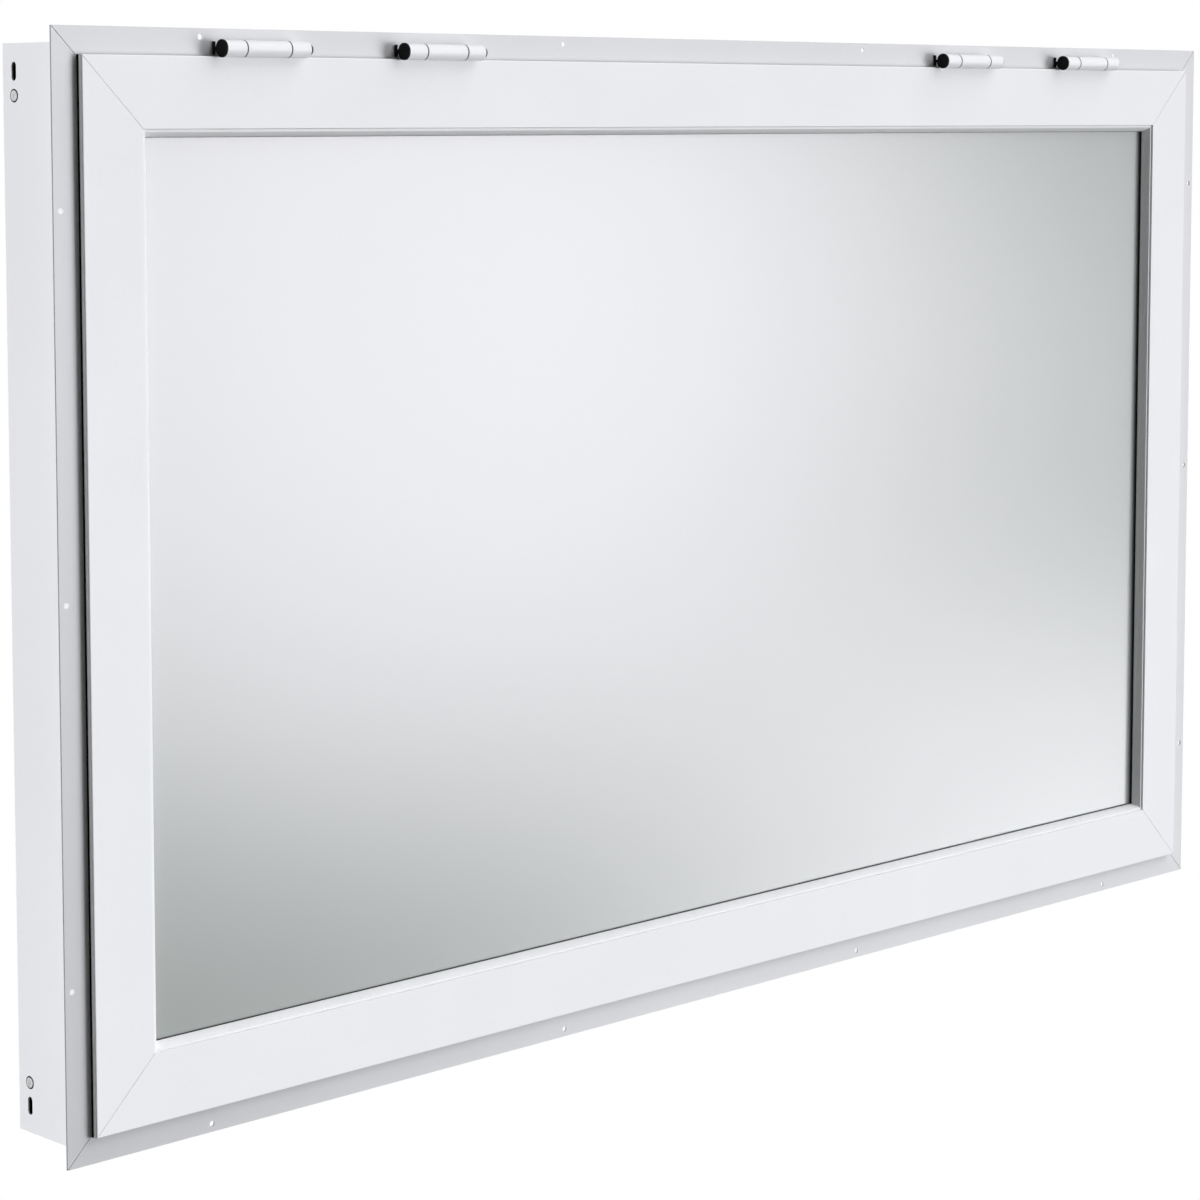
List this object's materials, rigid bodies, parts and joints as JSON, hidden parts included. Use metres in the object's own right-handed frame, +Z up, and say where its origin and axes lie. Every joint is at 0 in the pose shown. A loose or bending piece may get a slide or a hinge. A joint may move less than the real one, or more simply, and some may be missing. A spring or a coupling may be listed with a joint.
{
  "type": "concession window",
  "caption": "White top-hung concession window: a flanged aluminium wall frame with a frosted-glass awning door that swings out and up on barrel hinges along its top edge.",
  "frame": {"origin": "on the back face of the bottom flange, at mid-width, on the line of the bottom screw holes", "axes": "+X to the right seen from outside, +Y into the wall, +Z up"},
  "size_m": [1.5504, 0.1074, 0.9408],
  "materials": {
    "white_frame": "white powder coat",
    "white_door": "white powder coat",
    "white_hinge": "white powder coat",
    "black_rubber": "matt black rubber",
    "black_plastic": "matt black plastic",
    "steel_pin": "plain steel",
    "frosted_glass": "frosted"
  },
  "bodies": {
    "frame": {"frame_head": "white_frame", "frame_sill": "white_frame", "frame_jamb_left": "white_frame", "frame_jamb_right": "white_frame", "weather_seal_top": "black_rubber", "weather_seal_bottom": "black_rubber", "weather_seal_left": "black_rubber", "weather_seal_right": "black_rubber", "hinge_1_frame_leaf": "white_hinge", "hinge_1_pin": "steel_pin", "hinge_1_end_cap": "black_plastic", "hinge_1_pin_cap": "black_plastic", "hinge_2_frame_leaf": "white_hinge", "hinge_2_pin": "steel_pin", "hinge_2_end_cap": "black_plastic", "hinge_2_pin_cap": "black_plastic", "hinge_3_frame_leaf": "white_hinge", "hinge_3_pin": "steel_pin", "hinge_3_end_cap": "black_plastic", "hinge_3_pin_cap": "black_plastic", "hinge_4_frame_leaf": "white_hinge", "hinge_4_pin": "steel_pin", "hinge_4_end_cap": "black_plastic", "hinge_4_pin_cap": "black_plastic"},
    "awning_door": {"door_top_rail": "white_door", "door_bottom_rail": "white_door", "door_stile_left": "white_door", "door_stile_right": "white_door", "glazing_bead_top": "white_door", "glazing_bead_bottom": "white_door", "glazing_bead_left": "white_door", "glazing_bead_right": "white_door", "glazing_gasket_top": "black_rubber", "glazing_gasket_bottom": "black_rubber", "glazing_gasket_left": "black_rubber", "glazing_gasket_right": "black_rubber", "glass_pane": "frosted_glass", "hinge_1_door_leaf": "white_hinge", "hinge_2_door_leaf": "white_hinge", "hinge_3_door_leaf": "white_hinge", "hinge_4_door_leaf": "white_hinge"}
  },
  "joints": [
    {"name": "awning_door_hinge", "type": "hinge", "parent": "frame", "child": "awning_door", "pos_m": [0, -0.0134, 0.9171], "axis": [-1, 0, 0], "range_deg": [0, 85]}
  ]
}
